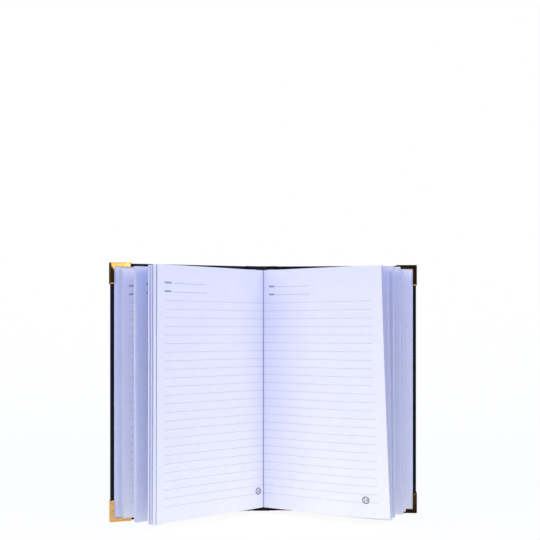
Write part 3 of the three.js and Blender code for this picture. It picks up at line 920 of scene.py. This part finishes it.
# Packets, from the cover to the open page. level: outer and reader's face from the pivot. bend: the
# core's turn in degrees, tail, middle and head by root to fore-edge. behind, before: how many loose
# leaves, the last one's further turn and how much shorter it is. rise: of the fore-edge, in mm.
CORE_START = 0.15
LOOSE_SHEET = 0.12
LOOSE_INSET = 0.09
LOOSE_STEP = 0.01
LOOSE_SPARE = 0.3
LOOSE_UNEVEN = 0.12
LOOSE_SPRING = np.array([[0, 0.25, 0.6, 1.0], [0, 0.2, 0.5, 0.9], [0, 0.22, 0.6, 1.1]])
PRINT_SHIFT = {"front_section_1": -3.0, "front_section_2": 2.5}
PACKETS = {
    "front_flyleaf": {
        "side": -1, "level": (0.12, 0.52), "length": 121.8, "behind": None, "before": None, "rise": 0.0,
        "bend": [[0, -0.3, -0.8, -1.1], [0, -0.5, -1.2, -1.8], [0, -0.7, -1.6, -2.4]],
    },
    "front_section_1": {
        "side": -1, "level": (0.64, 1.74), "length": 120.8, "behind": (2, -0.4, 0.2),
        "before": (3, 0.9, 0.4), "rise": -0.8,
        "bend": [[0, -0.8, -1.8, -2.6], [0, -1.0, -2.2, -3.2], [0, -1.1, -2.5, -3.6]],
    },
    "front_section_2": {
        "side": -1, "level": (1.86, 2.96), "length": 119.7, "behind": (4, -1.5, 0.2),
        "before": (8, 1.9, 0.2), "rise": 0.0,
        "bend": [[0, -0.1, -0.3, -0.4], [0, -0.2, -0.5, -0.7], [0, -0.4, -0.9, -1.3]],
    },
    "front_section_3": {
        "side": -1, "level": (3.08, 4.18), "length": 117.2, "behind": (4, -0.5, 0.1),
        "before": (4, 0.5, 0.1), "rise": 0.5,
        "bend": [[0.0, 0.4, 2.0, 3.2], [0.1, 0.5, 2.3, 3.5], [0.1, 0.6, 2.4, 3.7]],
    },
    "front_section_4": {
        "side": -1, "level": (4.30, 5.40), "length": 117.2, "behind": (4, -0.5, 0.2),
        "before": (4, 0.8, 0.2), "rise": 0.5,
        "bend": [[-0.2, 0.0, 0.4, 0.8], [-0.2, 0.1, 0.7, 1.2], [-0.2, 0.1, 0.7, 1.2]],
    },
    "left_open_section": {
        "side": -1, "level": (5.52, 6.62), "length": 118.8, "behind": (4, -0.6, 0.3),
        "before": None, "rise": 0.7,
        "bend": [[-0.6, -1.8, -0.6, 8.2], [-0.6, -1.2, 0.6, 5.8], [0.2, 0.6, 0.4, 0.2]],
    },
    "back_flyleaf": {
        "side": 1, "level": (0.12, 0.52), "length": 121.8, "behind": None, "before": None, "rise": -1.0,
        "bend": [[0, 0, 0.4, 0.8], [0, 0, 0.3, 0.6], [0, 0, 0.2, 0.4]],
    },
    "back_section_1": {
        "side": 1, "level": (0.64, 1.19), "length": 121.0, "behind": (3, -1.2, 0.4),
        "before": (2, 0.6, 0.3), "rise": -1.0,
        "bend": [[0, 0.1, 0.4, 0.8], [0, 0.1, 0.5, 1.0], [0, 0.1, 0.6, 1.2]],
    },
    "back_section_2": {
        "side": 1, "level": (1.31, 1.86), "length": 120.2, "behind": (2, -0.7, 0.3),
        "before": (3, 1.2, 0.4), "rise": 1.0,
        "bend": [[0, 0.2, 0.5, 0.8], [0, 0.3, 0.8, 1.4], [0, 0.4, 1.0, 1.8]],
    },
    "back_section_3": {
        "side": 1, "level": (1.98, 2.52), "length": 119.6, "behind": (5, -2.4, 0.5),
        "before": (2, 0.5, 0.2), "rise": 1.0,
        "bend": [[0.1, 0.2, 0.3, 0.3], [0.7, 1.4, 1.9, 1.9], [1.0, 1.9, 2.6, 2.6]],
    },
    "back_section_4": {
        "side": 1, "level": (2.65, 3.19), "length": 119.1, "behind": (3, -0.5, 0.2),
        "before": None, "rise": -1.4,
        "bend": [[-0.6, -1.0, -4.5, -13.0], [1.0, 1.2, -2.5, -11.0], [2.4, 3.0, -0.5, -9.0]],
    },
    "right_open_section": {
        "side": 1, "level": (3.31, 3.86), "length": 119.3, "behind": (2, -0.7, 0.4),
        "before": None, "rise": 0.6,
        "bend": [[-2.0, -1.4, -6.0, -24.0], [3.2, 2.8, -2.6, -14.0], [5.0, 4.2, 3.0, -7.6]],
    },
}


def leaf_of(packet, **own):
    """A leaf as leaf_points reads it: its packet's side, angle and rise, and its own measures."""
    row = PACKETS[packet]
    return {"side": row["side"], "angle": joint_angle(packet + "_hinge"), "rise": row["rise"], **own}


def loose_leaves(core, spread, level, step, phase):
    """The leaves of a spread: each turns a little more than the last and is a little shorter, by
    its share of the count, made uneven by a sine of its number."""
    count, tip, shorter = spread
    leaves = []
    for number in range(1, count + 1):
        share = number / count
        uneven = LOOSE_UNEVEN * math.sin(2.4 * number + phase)
        turned = np.asarray(core["bend"], float) + tip * (share + uneven / count) * LOOSE_SPRING
        length = core["length"] - shorter * (share + uneven)
        leaves.append({**core, "offset": level + step * number, "bend": turned, "length": length})
    return leaves


for packet, row in PACKETS.items():
    plain = packet.endswith("flyleaf")
    surface = endpaper if plain else ruled[row["side"]]
    low, high = row["level"]
    core = leaf_of(
        packet, start=CORE_START, offset=(low + high) / 2, length=row["length"], bend=row["bend"],
        shift=PRINT_SHIFT.get(packet, 0.0),
    )
    core_thickness = high - low - (0.0 if plain else LOOSE_SPARE)
    core_piece = put_leaves(packet + "_core", [core], core_thickness, surface, packet)
    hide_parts(packet)
    put_root(packet + "_root", core, high - low - ROOT_SPARE, surface)
    if row["behind"]:
        leaves = loose_leaves(core, row["behind"], low + LOOSE_INSET, -LOOSE_STEP, high)
        put_leaves(packet + "_behind", leaves, LOOSE_SHEET, surface, packet)
    if row["before"]:
        leaves = loose_leaves(core, row["before"], high - LOOSE_INSET, LOOSE_STEP, high)
        put_leaves(packet + "_before", leaves, LOOSE_SHEET, surface, packet)

# Open pages. The leaf on each side at which the book lies open runs on past its packet's face
# into the gutter, where a bent strip takes it down into the sewn fold.
GUTTER_DEPTH = 2.2
GUTTER_ROUND = 1.0
GUTTER_END = 0.3
PAGE_INSET = 0.05
OPEN_PAGES = {
    "left_open_section": {
        "start": -3.28, "offset": 6.66, "length": 119.9,
        "bend": [[4.3, -4.2, -0.9, 12.2], [1.7, -1.4, 0.7, 5.2], [1.8, 2.3, 0.3, -2.8]],
    },
    "right_open_section": {
        "start": -1.555, "offset": 4.088, "length": 121.0,
        "bend": [[-1.4, -0.8, -5.4, -25.5], [4.2, 3.7, -1.8, -14.8], [5.9, 4.8, 3.6, -7.9]],
    },
}


def page_face(packet):
    """The level of an open page: just under its packet's face, or its own."""
    return min(OPEN_PAGES[packet]["offset"], PACKETS[packet]["level"][1] - PAGE_INSET)


def gutter_strip(page, end):
    """The page's first few mm up to end, pushed back by GUTTER_DEPTH (1 - d / GUTTER_ROUND)^2 at
    the distance d from the fold, with its page map."""
    distance = np.concatenate([np.linspace(0, GUTTER_ROUND, 7), np.linspace(1.2, end + 0.05, 6)])[:, None]
    z = np.linspace(PAGE_TAIL, PAGE_HEAD, 25)[None, :]
    grid = leaf_points(page, distance, z)
    grid[..., 1] += GUTTER_DEPTH * np.clip(1 - distance / GUTTER_ROUND, 0, 1) ** 2
    return grid, np.stack(np.broadcast_arrays(distance / PAGE_WIDTH, (PAGE_HEAD - z) / PAGE_HEIGHT), -1)


for packet, own in OPEN_PAGES.items():
    page = leaf_of(packet, shift=-own["start"], **own)
    side = page["side"]
    gutter = GUTTER_END - own["start"]
    put_leaves(packet + "_open_page", [page], LEAF_SHEET, ruled[side], packet, gutter, page_face(packet))
    strip_grid, strip_map = gutter_strip(page, gutter)
    strip = put_mesh(
        packet + "_gutter", strip_grid, grid_faces(*strip_grid.shape[:2], flip=side > 0),
        [ruled[side], cut_edges], strip_map,
    )
    give_thickness(strip, LEAF_SHEET, rim=1, crisp=True)
    strip_end = in_frame(side, page["angle"], LEAF_PIVOT, GUTTER_END, own["offset"], COVER_MIDDLE) / 1000
    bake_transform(strip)

# Page numbers. Printed at the foot of both open pages in a thin ring: plain numerals laid on the
# leaf's own curve a few hundredths of a millimetre above it.
NUMBER_HEIGHT = 3.0
NUMBER_LIFT = 0.1
NUMBER_LEVEL = PAGE_TAIL + 15.0
RING_RADIUS = 3.15
RING_WIDTH = 0.7
RING_STEPS = 40
INK_PATCH = 0.4


def make_ink():
    """Offset ink, grey-blue, slightly uneven where the paper's fibres take less of it."""
    material, tree, shader, place = new_material("grey_offset_ink")
    patch = add_node(tree, "TexNoise", {"Scale": 1000 / INK_PATCH, "Detail": 2.0}, {"Vector": place}, "Fac")
    shade = add_node(tree, "ValToRGB", {"stops": ((0, "#1c1e2c"), (1, "#3a3d50"))}, {"Fac": patch}, 0)
    wire(tree, shader, {"Roughness": 0.8}, {"Base Color": shade})
    return material


ink = make_ink()


def numeral_outline(digits):
    """The numerals as a flat mesh in mm, centred on their own middle."""
    curve = bpy.data.curves.new("numerals", "FONT")
    curve.body = digits
    curve.size = NUMBER_HEIGHT / 0.7
    curve.resolution_u = 4
    curve.align_x = "CENTER"
    curve.align_y = "CENTER"
    shape = bpy.data.objects.new("numerals", curve)
    bpy.context.scene.collection.objects.link(shape)
    bpy.context.view_layer.update()
    mesh = bpy.data.meshes.new_from_object(shape.evaluated_get(bpy.context.evaluated_depsgraph_get()))
    flat = np.zeros(len(mesh.vertices) * 3)
    mesh.vertices.foreach_get("co", flat)
    flat = flat.reshape(-1, 3)[:, :2]
    flat -= (flat.min(0) + flat.max(0)) / 2
    faces = [list(face.vertices) for face in mesh.polygons]
    bpy.data.objects.remove(shape)
    bpy.data.meshes.remove(mesh)
    return flat, faces


def ringed(digits):
    """The numerals and the ring round them: two circles of RING_STEPS points and the faces between."""
    flat, faces = numeral_outline(digits)
    around = np.linspace(0, 2 * math.pi, RING_STEPS + 1)[:-1]
    circle = np.stack([np.cos(around), np.sin(around)], -1)
    here = np.arange(RING_STEPS) + len(flat)
    after = np.roll(here, -1)
    ring = np.stack([here, here + RING_STEPS, after + RING_STEPS, after], -1)
    drawn = np.concatenate([flat, circle * (RING_RADIUS - RING_WIDTH), circle * RING_RADIUS])
    return drawn, faces + ring.tolist()


for packet, digits, across in (("left_open_section", "58", 6.6), ("right_open_section", "59", 101.0)):
    page = leaf_of(packet, **OPEN_PAGES[packet])
    drawn, faces = ringed(digits)
    points = leaf_points(page, across + page["side"] * drawn[:, 0], NUMBER_LEVEL + drawn[:, 1], NUMBER_LIFT)
    mesh = bpy.data.meshes.new(packet + "_number")
    mesh.from_pydata((points / 1000).tolist(), [], faces)
    mesh.materials.append(ink)
    number = bpy.data.objects.new(packet + "_number", mesh)
    bpy.context.scene.collection.objects.link(number)
    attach(number, packet)
    side = page["side"]
    level = page_face(packet) + NUMBER_LIFT
    anchor = in_frame(side, page["angle"], LEAF_PIVOT, 0.0, level, COVER_MIDDLE) / 1000
    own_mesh(number)
